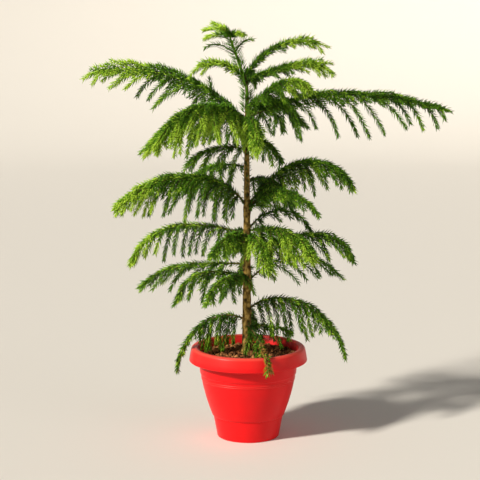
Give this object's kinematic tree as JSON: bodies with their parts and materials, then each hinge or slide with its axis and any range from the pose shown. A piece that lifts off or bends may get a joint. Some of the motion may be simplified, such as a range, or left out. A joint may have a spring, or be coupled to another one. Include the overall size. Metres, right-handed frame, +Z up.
{
  "type": "potted araucaria tree",
  "caption": "Young Norfolk Island pine, an araucaria, with tiered drooping fronds of soft needles on a slim trunk, growing in a round red plastic pot of soil.",
  "frame": {"origin": "centre of the pot's flat underside, on the surface that the pot stands on", "axes": "+Z up along the trunk, -Y towards the viewer of the picture, +X to the viewer's right"},
  "size_m": [0.7481, 0.4234, 0.8847],
  "materials": {
    "pot": "satin red moulded plastic",
    "soil": "loose brown potting soil in crumbs",
    "bark": "grey-brown bark with small leaf scars",
    "bough": "green-brown young bark",
    "foliage": "soft green needles, lime at the young tips"
  },
  "bodies": {
    "root": {"pot": "pot", "soil": "soil", "trunk": "bark", "bough_tier1_left": "bough", "bough_tier1_right": "bough", "bough_tier2_back": "bough", "bough_tier2_front_left": "bough", "bough_tier2_left": "bough", "bough_tier2_right": "bough", "bough_tier3_back": "bough", "bough_tier3_front_right": "bough", "bough_tier3_left": "bough", "bough_tier3_right": "bough", "bough_tier3_upper_right": "bough", "bough_tier4_back_left": "bough", "bough_tier4_back_right": "bough", "bough_tier4_left": "bough", "bough_tier4_right": "bough", "bough_tier5_back_right": "bough", "bough_tier5_front_left": "bough", "bough_tier5_left": "bough", "bough_tier5_right": "bough", "foliage_leader_tuft": "foliage", "foliage_tier1_back": "foliage", "foliage_tier1_front": "foliage", "foliage_tier1_front_right": "foliage", "foliage_tier1_left": "foliage", "foliage_tier1_right": "foliage", "foliage_tier2_back": "foliage", "foliage_tier2_front": "foliage", "foliage_tier2_front_left": "foliage", "foliage_tier2_left": "foliage", "foliage_tier2_right": "foliage", "foliage_tier3_back": "foliage", "foliage_tier3_front": "foliage", "foliage_tier3_front_left": "foliage", "foliage_tier3_front_right": "foliage", "foliage_tier3_left": "foliage", "foliage_tier3_right": "foliage", "foliage_tier3_upper_right": "foliage", "foliage_tier4_back_left": "foliage", "foliage_tier4_back_right": "foliage", "foliage_tier4_front_right": "foliage", "foliage_tier4_left": "foliage", "foliage_tier4_right": "foliage", "foliage_tier5_back_left": "foliage", "foliage_tier5_back_right": "foliage", "foliage_tier5_front": "foliage", "foliage_tier5_front_left": "foliage", "foliage_tier5_front_right": "foliage", "foliage_tier5_left": "foliage", "foliage_tier5_lower_left": "foliage", "foliage_tier5_right": "foliage", "foliage_tier6_back": "foliage", "foliage_tier6_front_right": "foliage", "foliage_tier6_left": "foliage", "foliage_tier6_lower_right": "foliage", "foliage_tier6_right": "foliage", "foliage_tier7_left": "foliage", "foliage_tier7_right": "foliage"}
  },
  "joints": []
}
